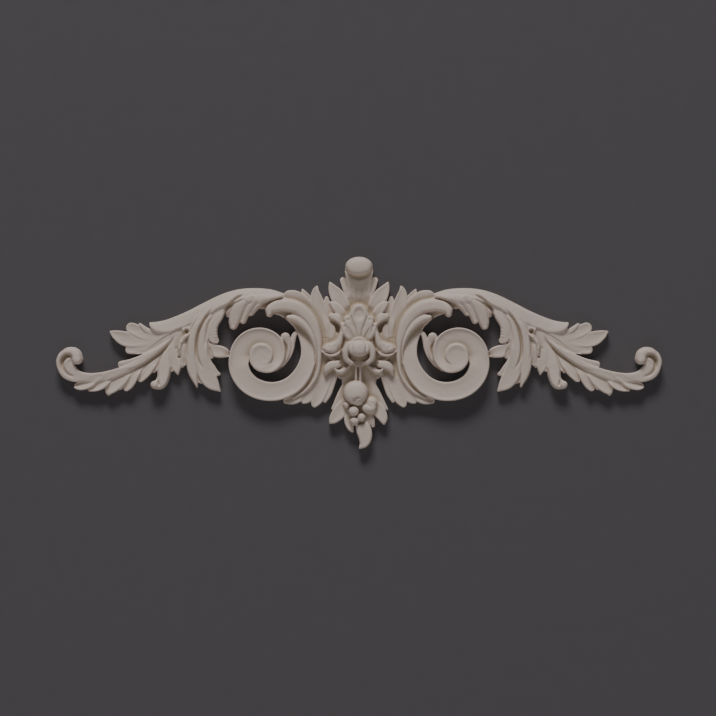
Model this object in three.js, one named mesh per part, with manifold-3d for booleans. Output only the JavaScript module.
// A cast polyurethane onlay: an acanthus scroll ornament with a flat back, fixed flat to a wall or a panel.
// It is one casting. A palmette, a husk, a knot and a fruit drop stand on the centre line, and a C-scroll with
// a volute and a long acanthus branch lie to each side, as mirror images. Every leaf finger is one stroke:
// a curved spine with a width, a height and a hollow or a crown across it. The strokes run together at their
// roots, and the creases where they meet are the carved grooves.
// Millimetres, +Z up, front towards -Y. The back is the plane y = 0, and the origin is on it behind the knot.
import * as THREE from "three";
import Module from "manifold-3d";

const LENGTH = 640; // overall, along X
const HEIGHT = 203; // overall, along Z
const DEPTH = 30; // from the back to the top of the knot, the highest point
const WEB = 8; // thickness of the plain webs behind and between the fingers
const TIP = 1.2; // width of the sharpest cast tip

// The carving is laid out in shares of the length, the height and the depth: an out module is a 605.6th of the
// length, an up module a 192nd of the height, and a step a 30th of the depth. The strokes are written in them.
const OUT = LENGTH / 605.6;
const UP = HEIGHT / 192;
const STEP = DEPTH / 30;
const WEB_STEPS = WEB / STEP;

// How finely a stroke is cut: a station every so many modules along it, two facets across its face, and the
// share of each station's place that is drawn towards the tip, where the outline turns quickest.
const STATION = 13;
const LEAST_STATIONS = 3;
const TOWARDS_TIP = 0.4;
const BOSS_SIDES = 10;
const BOSS_RINGS = 2;
const DOME = Math.PI / 2.3; // the angle a boss rounds through before its small flat top
const VOLUTE_STATIONS = 22;
const DISC_SIDES = 20;
const NARROW = 4.3; // a stroke with a smaller half width than this is flat across
const BURIED = 1; // how far a stroke starts behind the back plane before it is trimmed flat

// How a stroke ends and how it is cut across: sharp is 0 for a round end and 1 for a pointed one, dish is how
// far its middle is hollowed below its rims, and a negative dish is a crown. root is its width where it starts
// as a share of its full width, and widest is how far along it is at its full width.
const POINTED = { sharp: 1, dish: 1.8, root: 0.6, widest: 0.6 };
const ROUNDED = { sharp: 0, dish: 1.8, root: 0.6, widest: 0.7 };
const FLUTE = { sharp: 0.5, dish: 2.2, root: 0.6, widest: 0.7 };
const CROWNED = { sharp: 0, dish: -2.5, root: 1, widest: 0.85 };
const PLAIN = { sharp: 0, dish: 0, root: 1, widest: 0.8 };

const wasm = await Module();
wasm.setup();

// One finger. path holds points [out, up] on its spine, from root to tip, where out is the distance from the
// centre line. half is its full half width, tops are its heights from root to tip at even shares.
const finger = (half, tops, path, style = POINTED) => ({ half: [half], tops, path, ...style });

// One ribbon, whose half width is given at each point of its path, as [out, up, half width, height].
const ribbon = (stations, style = CROWNED) => ({
  path: stations.map(([out, up]) => [out, up]),
  half: stations.map((s) => s[2]),
  tops: stations.map((s) => s[3]),
  ribbon: true,
  ...style,
});

// One web, a ribbon of even thickness, as [out, up, half width].
const web = (stations) => ribbon(stations.map((s) => [...s, WEB_STEPS]), PLAIN);

// The long branch: its outer rim, the upper fingers, the tendril with its leaflets, and the hanging leaves.
const BRANCH = [
  web([[130, 44, 8], [156, 31, 13], [180, 12, 13], [206, 2, 8]]),
  web([[152, 36, 6], [162, 12, 12], [176, -8, 9]]),
  web([[82, 51, 3], [104, 48, 7], [128, 42, 9]]),
  ribbon(
    [[72, 52, 2, 11], [90, 56, 4.2, 13], [108, 57, 4.6, 14.5], [134, 51, 6, 15], [160, 36.5, 7, 14],
      [184, 23.5, 5.6, 11], [208.5, 23, 4.2, 9]],
    { ...CROWNED, dish: -1.6, widest: 0.95 },
  ),
  finger(3.2, [10, 8.5], [[188, 15], [207, 16], [219.5, 27.5]], ROUNDED),
  finger(6.2, [11, 10, 8.5], [[190, 16], [214, 14], [233.5, 27.5]], { ...FLUTE, sharp: 0.3 }),
  finger(7.4, [12, 10, 8.5], [[178, 17], [216, 8.5], [249.5, 18.5]], FLUTE),
  finger(5.2, [10, 9, 8.5], [[192, 6], [212, 2], [234, -0.5]], { ...FLUTE, sharp: 0.2 }),
  finger(4.2, [12, 11, 9], [[196, 2], [218, -9], [241.5, -14.5]], { ...ROUNDED, root: 0.8 }),
  ribbon(
    [[182, 11, 4, 12], [204, -7, 4.5, 12], [229, -20, 4.2, 11.5], [256, -27.5, 4.4, 11], [277, -27, 4.8, 10.5],
      [290, -20.5, 6, 11], [297, -9, 6.2, 11.5], [292, 0.5, 4, 13], [284.5, -2.5, 4.2, 13.5], [281.5, -9.5, 4.6, 14]],
    { sharp: 0, dish: 2.2, root: 1, widest: 0.93 },
  ),
  finger(4.2, [10, 8], [[262, -29], [273, -35], [284.5, -36.2]], ROUNDED),
  finger(3.6, [10, 8], [[251, -26], [262, -35], [271, -41.3]], ROUNDED),
  finger(7, [10.5, 8], [[234, -21], [244, -34], [250.5, -45]], FLUTE),
  finger(3.8, [10, 8], [[222, -18], [229, -32], [234.5, -41.2]], ROUNDED),
  finger(4, [10.5, 8], [[205, -8], [213, -21], [219, -32.5]], ROUNDED),
  finger(3.6, [10, 8], [[194, -2], [201, -13], [204.8, -22]], ROUNDED),
  ribbon(
    [[184, 4, 6, 11], [193, -14, 6.8, 10.5], [195.5, -28, 6.4, 10.5], [201, -35, 5, 12], [206, -35, 3.6, 13]],
    { sharp: 0, dish: 1.4, root: 1, widest: 0.9 },
  ),
  finger(5.6, [10, 8], [[180, 2], [183, -9], [181.7, -24.3]], FLUTE),
  finger(4.8, [10.5, 8], [[172, 4], [174, -6], [174.6, -17.5]], ROUNDED),
  finger(4.7, [14, 11.5, 8], [[156, 34], [168, 4], [161.5, -36]], { ...FLUTE, dish: 2 }),
  finger(6.6, [14.5, 12.5, 8], [[144, 40], [157, 2], [139.5, -41]], { ...FLUTE, dish: 2.6, widest: 0.8 }),
  finger(4.2, [12, 10.5, 9], [[150, 14], [151.5, -6], [139.5, -24.5]], { ...FLUTE, sharp: 0.3 }),
  finger(5.2, [14, 12, 10], [[131, 47], [146, 24], [142.5, 6.8]], { ...ROUNDED, root: 0.7 }),
  finger(5, [12, 10, 8.5], [[150, 8], [142, -1.5], [129, -5.2]], POINTED),
  finger(2.8, [10.5, 8.5], [[154, 2], [151, -4], [146.5, -7.8]], ROUNDED),
  finger(2.6, [11, 9.5], [[124, 48], [129, 41], [131, 32.5]], ROUNDED),
  finger(5.2, [13, 12, 10.5], [[106, 52], [122, 39], [127, 20.5]], { ...FLUTE, sharp: 0.3 }),
  finger(3.4, [12, 10], [[100, 50], [111, 42], [116.5, 26]], ROUNDED),
  finger(3.6, [11.5, 9.5], [[93, 50], [103, 45], [108, 33.7]], ROUNDED),
];

// The C-scroll: the sheath that hooks over its top, the inner hook, and the bud beside the volute.
const SCROLL = [
  ribbon([[89.5, 34.5, 3.2, 17], [86.5, 44, 5, 17.5], [69, 44, 6.3, 16.5], [54, 35.5, 6, 16], [44, 18, 4.6, 14.5],
    [40, -2, 3.2, 13], [44, -22.5, 3, 12], [56, -38.5, 2.8, 10.5], [73, -49, 1.8, 9]]),
  ribbon([[71.2, 33.3, 2.8, 17.5], [62, 32.5, 4, 17], [50, 20, 3.6, 15.5], [44, 2, 1.6, 13]]),
  ribbon([[87, -21.5, 1.6, 10], [72, -8, 2.6, 11], [65.5, 6, 2.4, 11], [63.3, 19, 1.6, 11]], ROUNDED),
  finger(4.2, [12, 12.5], [[78, -8], [73, 2], [73.5, 15.2]], ROUNDED),
];

// The broad leaf behind the C-scroll, with its upper and its lower fingers.
const BACK_LEAF = [
  web([[34, 2, 8], [37, 24, 11], [48, 42, 9], [66, 49, 5]]),
  web([[34, -2, 8], [35, -24, 10], [46, -41, 9], [58, -50, 5]]),
  finger(5.4, [10, 10], [[46, 34], [57, 48], [69.5, 57.5]], ROUNDED),
  finger(5, [9.5, 9.5], [[43, 32], [50, 46], [57.3, 60.3]], POINTED),
  finger(7.2, [13, 10, 10], [[33, 12], [41, 38], [42.5, 64.3]], FLUTE),
  finger(4.4, [12, 9, 9], [[27, 12], [31, 32], [32, 53]], ROUNDED),
  finger(4.2, [9.5, 8], [[50, -38], [59, -46], [72, -52]], ROUNDED),
  finger(4.2, [9.5, 8], [[44, -37], [49, -46], [56, -53.5]], ROUNDED),
  finger(6.6, [12, 9.5, 8.5], [[29, -12], [36, -36], [45.5, -57.3]], FLUTE),
  finger(4.4, [11, 9, 8.5], [[25, -16], [28, -34], [34.3, -52.6]], FLUTE),
];

// Beside the centre line: the side fingers of the husk and palmette, the knot's loops, and the curls.
const CENTRE_SIDES = [
  finger(3.6, [12, 12], [[8, 58], [12, 65], [16.6, 73]], ROUNDED),
  finger(6.6, [12, 11, 12], [[10, 36], [21, 50], [29, 67.5]], POINTED),
  finger(4.6, [12.5, 12], [[12, 29], [22, 42], [29.8, 47.5]], ROUNDED),
  finger(4.6, [13, 12.5], [[12, 20], [21, 31.5], [29.8, 35.5]], ROUNDED),
  finger(4, [20, 21.5], [[5, 16], [9, 26], [11.8, 34.3]], ROUNDED),
  finger(3.8, [19, 20.5], [[8, 11], [13, 18], [17.8, 25.5]], ROUNDED),
  finger(2.6, [14, 15], [[28, 7], [19, 12], [16.8, 23]], ROUNDED),
  ribbon([[11, 5, 2.4, 27], [15.6, -2, 2.8, 25.5], [12.6, -12, 2.6, 23.5], [7.5, -13.2, 2, 22.5]]),
  ribbon([[9, -14, 3.6, 16], [24, -13.5, 4.8, 18.5], [33.5, -20, 3.4, 16]]),
  ribbon([[9, -17.5, 2.2, 15], [15, -21, 2.8, 17], [21, -20.5, 3, 18]]),
];
const CENTRE_LINE = [
  ribbon([[0, 8, 13, 11], [0, 52, 12.5, 11], [0, 72, 12.8, 12.5], [0, 93, 14, 13]],
    { sharp: 0, dish: 1.8, root: 1, widest: 0.86 }),
  ribbon([[0, 8, 10, 18.5], [0, 27, 8, 21], [0, 45.3, 8, 23]], { sharp: 0.2, dish: 1.6, root: 1, widest: 0.82 }),
  web([[0, 48, 24], [0, 34, 31], [0, -6, 38], [0, -29, 26]]),
];

// The fruit drop below the knot, which isn't a mirror image: its first number is X, so left is negative.
const DROP = [
  web([[0, -20, 14], [0, -44, 17], [2, -62, 14], [3, -76, 7]]),
  ribbon([[-3, -8, 1.7, 15], [-3, -20, 1.7, 15], [-3, -33, 1.7, 15]]),
  ribbon([[1, -8, 1.7, 15], [1, -20, 1.7, 15], [1, -33, 1.7, 15]]),
  finger(5.6, [9.5, 8.5], [[-9, -30], [-17.5, -43], [-26.8, -58.3]], POINTED),
  finger(6.4, [9.5, 8.5], [[-10, -50], [-20, -62.5], [-28.8, -72.8]], FLUTE),
  finger(4.2, [9.5, 8.5], [[-6, -60], [-9.5, -71], [-7.6, -81.3]], ROUNDED),
  finger(5.6, [9.5, 8.5], [[9, -30], [18, -43], [28.3, -59]], POINTED),
  finger(6.2, [9.5, 8.5], [[10, -50], [20.5, -62], [25, -73.8]], ROUNDED),
  finger(4, [9.5, 8.5], [[7, -60], [11.5, -69], [14.8, -76.8]], ROUNDED),
  ribbon([[2, -72, 5.5, 10], [5.4, -83, 8.2, 10.5], [6.5, -92, 5.4, 9], [1, -98.6, 0.8, 7.5]],
    { sharp: 0, dish: -2, root: 1, widest: 0.97 }),
];

// Round bosses [out, up, half width, half height, top, rise of the dome]: the husk's rolled tip, the knot, the
// fruits and berries. The second list is repeated on the other side of the centre line.
const BOSSES = [
  [0, 82.6, 10.8, 8.4, 24, 9],
  [0, 1.6, 12.6, 8, 30, 8],
  [-3.4, -42, 12.6, 12, 24, 12],
  [0, -51, 7.6, 5.6, 22, 6],
  [-12.6, -54, 3.6, 3.6, 14, 3.6],
  [-5.6, -61, 5, 5.6, 19, 5],
  [-4, -70.6, 4.5, 4.5, 16, 4.5],
  [2.6, -66.6, 4.2, 4.2, 18, 4.2],
  [11.6, -54, 6.8, 10.6, 19, 7],
];
const SIDE_BOSSES = [[27, 3, 9.4, 8.6, 20, 5]];

// The volute's band is wound round its eye. Radii of its outer and inner edge and the height of its face are
// given at each eighth of a turn, from above the side that faces the centre line, down, out and over the top.
// The disc inside it carries on from the band's end, and closes up to the eye in one more turn.
const VOLUTE = {
  eye: [97, -6],
  start: -1 / 8,
  bandOuter: [51, 55, 51, 44.2, 38.3, 32.5, 30.3],
  bandInner: [37.5, 38.7, 32.2, 24.2, 17.5, 12.6, 12.4],
  bandFace: [12, 13, 13.5, 14, 14.5, 15, 15.5],
  discStart: 4 / 8,
  disc: [32.5, 30.3, 28.2, 26.4, 23, 20.2, 16.3, 13.7, 12.3],
  discRise: [
    [1, 15.5],
    [0.5, 18.5],
    [0.2, 17.5],
  ],
  dish: 0.8,
};

// The value at share s of a smooth curve through a list of numbers.
function smooth(list, s) {
  if (list.length === 1) return list[0];
  const at = s * (list.length - 1);
  const i = Math.min(Math.floor(at), list.length - 2);
  const f = at - i;
  const p = (k) => list[THREE.MathUtils.clamp(k, 0, list.length - 1)];
  const [a, b, c, d] = [p(i - 1), p(i), p(i + 1), p(i + 2)];
  return b + 0.5 * f * (c - a + f * (2 * a - 5 * b + 4 * c - d + f * (3 * (b - c) + d - a)));
}

// A stroke's width at share s, as a share of its full width: it swells from its root and closes at its tip.
function swell(style, s) {
  const { widest, root, sharp } = style;
  const x = Math.max(0, (s - widest) / (1 - widest));
  const closing = (1 - sharp) * Math.sqrt(Math.max(0, 1 - x * x)) + sharp * (1 - x ** 1.6);
  const opening = style.ribbon ? 1 : root + (1 - root) * Math.sin((Math.min(1, s / widest) * Math.PI) / 2);
  return opening * closing;
}

// A closed solid from rings of points that all have the same count, joined in order and capped at both ends.
function loft(rings, flipped) {
  const count = rings[0].length;
  const vertices = rings.flat(2);
  const triangles = [];
  const add = (a, b, c) => (flipped ? triangles.push(a, c, b) : triangles.push(a, b, c));
  for (let i = 0; i + 1 < rings.length; i++)
    for (let j = 0; j < count; j++) {
      const a = i * count + j;
      const b = i * count + ((j + 1) % count);
      add(a, b, a + count);
      add(b, b + count, a + count);
    }
  const last = (rings.length - 1) * count;
  for (let j = 1; j + 1 < count; j++) {
    add(0, j + 1, j);
    add(last, last + j, last + j + 1);
  }
  return new wasm.Manifold(
    new wasm.Mesh({ numProp: 3, vertProperties: new Float32Array(vertices), triVerts: new Uint32Array(triangles) }),
  );
}

// The ring across a stroke: two feet behind the back plane, both rims, and the middle of its face, which lies
// below the rims on a hollow stroke and above them on a crowned one. side is -1 to the left of the centre.
function ringAcross(left, right, height, dish, side) {
  const place = (t, y) => [
    side * OUT * (left[0] + (right[0] - left[0]) * t),
    y,
    UP * (left[1] + (right[1] - left[1]) * t),
  ];
  const rim = -STEP * (height + Math.min(0, dish));
  const middle = -STEP * (height - Math.max(0, dish));
  return [place(0, BURIED), place(0, rim), place(0.5, middle), place(1, rim), place(1, BURIED)];
}

// One stroke as a solid.
function strokeSolid(stroke, side) {
  const outs = stroke.path.map((p) => p[0]);
  const ups = stroke.path.map((p) => p[1]);
  const spine = (s) => new THREE.Vector2(smooth(outs, s), smooth(ups, s));
  const span = spine(0).distanceTo(spine(0.5)) + spine(0.5).distanceTo(spine(1));
  const count = Math.max(LEAST_STATIONS, Math.round(span / STATION), stroke.path.length - 1);
  const dish = Math.max(...stroke.half) < NARROW ? 0 : stroke.dish;
  const rings = [];
  for (let i = 0; i <= count; i++) {
    const even = i / count;
    const s = even + TOWARDS_TIP * (Math.sin((even * Math.PI) / 2) - even);
    const tangent = spine(Math.min(1, s + 0.01)).sub(spine(Math.max(0, s - 0.01))).normalize();
    const half = Math.max(TIP / OUT / 2, smooth(stroke.half, s) * swell(stroke, s));
    const across = new THREE.Vector2(-tangent.y, tangent.x).multiplyScalar(half);
    const left = spine(s).add(across).toArray();
    const right = spine(s).sub(across).toArray();
    rings.push(ringAcross(left, right, smooth(stroke.tops, s), dish * Math.min(1, half / NARROW), side));
  }
  return loft(rings, side < 0);
}

// The point at a radius and a turn round the volute's eye, as [out, up]. Turns run down, out, over and in.
const roundEye = (radius, turn) => [
  VOLUTE.eye[0] - radius * Math.cos(2 * Math.PI * turn),
  VOLUTE.eye[1] - radius * Math.sin(2 * Math.PI * turn),
];

// The volute's band.
function voluteBand(side) {
  const rings = [];
  for (let i = 0; i <= VOLUTE_STATIONS; i++) {
    const s = i / VOLUTE_STATIONS;
    const turn = VOLUTE.start + (s * (VOLUTE.bandOuter.length - 1)) / 8;
    const outer = roundEye(smooth(VOLUTE.bandOuter, s), turn);
    const inner = roundEye(smooth(VOLUTE.bandInner, s), turn);
    rings.push(ringAcross(inner, outer, smooth(VOLUTE.bandFace, s), VOLUTE.dish, side));
  }
  return loft(rings, side < 0);
}

// The volute's disc, whose outline winds in for one turn, with a raised eye.
function voluteDisc(side) {
  const ring = (share, y) => {
    const points = [];
    for (let k = 0; k < DISC_SIDES; k++) {
      const s = k / (DISC_SIDES - 1);
      const [out, up] = roundEye(share * smooth(VOLUTE.disc, s), VOLUTE.discStart + s * 0.999);
      points.push([side * OUT * out, y, UP * up]);
    }
    return points;
  };
  const rings = [ring(1, BURIED), ...VOLUTE.discRise.map(([share, height]) => ring(share, -STEP * height))];
  return loft(rings, side < 0);
}

// A round boss: an elliptical dome on a straight wall that runs down to the back.
function bossSolid([out, up, halfWidth, halfHeight, top, rise], side) {
  const ring = (radius, y) => {
    const points = [];
    for (let k = 0; k < BOSS_SIDES; k++) {
      const angle = (2 * Math.PI * k) / BOSS_SIDES;
      const x = out + radius * halfWidth * Math.cos(angle);
      points.push([side * OUT * x, y, UP * (up + radius * halfHeight * Math.sin(angle))]);
    }
    return points;
  };
  const rings = [ring(1, BURIED)];
  for (let i = 0; i <= BOSS_RINGS; i++) {
    const angle = (DOME * i) / BOSS_RINGS;
    rings.push(ring(Math.cos(angle), -STEP * (top - rise + (rise * Math.sin(angle)) / Math.sin(DOME))));
  }
  return loft(rings, side < 0);
}

// The block behind the back plane that trims every stroke flat.
function blockBehind() {
  const [x, z] = [LENGTH, HEIGHT];
  const ring = (y) => [[-x, y, -z], [x, y, -z], [x, y, z], [-x, y, z]];
  return loft([ring(4 * BURIED), ring(0)], false);
}

const bothSides = (make) => [make(1), make(-1)];
const mirrored = [...BRANCH, ...SCROLL, ...BACK_LEAF, ...CENTRE_SIDES];
const solids = [
  ...mirrored.flatMap((stroke) => bothSides((side) => strokeSolid(stroke, side))),
  ...bothSides(voluteBand),
  ...bothSides(voluteDisc),
  ...[...CENTRE_LINE, ...DROP].map((stroke) => strokeSolid(stroke, 1)),
  ...BOSSES.map((boss) => bossSolid(boss, 1)),
  ...SIDE_BOSSES.flatMap((boss) => bothSides((side) => bossSolid(boss, side))),
];
const casting = solids.reduce((joined, next) => joined.add(next)).subtract(blockBehind());

// The casting as a three.js mesh.
function meshOf(solid, name, material) {
  const { vertProperties, triVerts } = solid.getMesh();
  const geometry = new THREE.BufferGeometry();
  geometry.setAttribute("position", new THREE.BufferAttribute(new Float32Array(vertProperties), 3));
  geometry.setIndex(new THREE.BufferAttribute(new Uint32Array(triVerts), 1));
  geometry.computeVertexNormals();
  const mesh = new THREE.Mesh(geometry, material);
  mesh.name = name;
  return mesh;
}

const primedCasting = new THREE.MeshStandardMaterial({ color: 0xd6cdc3, roughness: 0.62, metalness: 0 });
const onlay = new THREE.Group();
onlay.add(meshOf(casting, "onlay", primedCasting));

export default onlay;
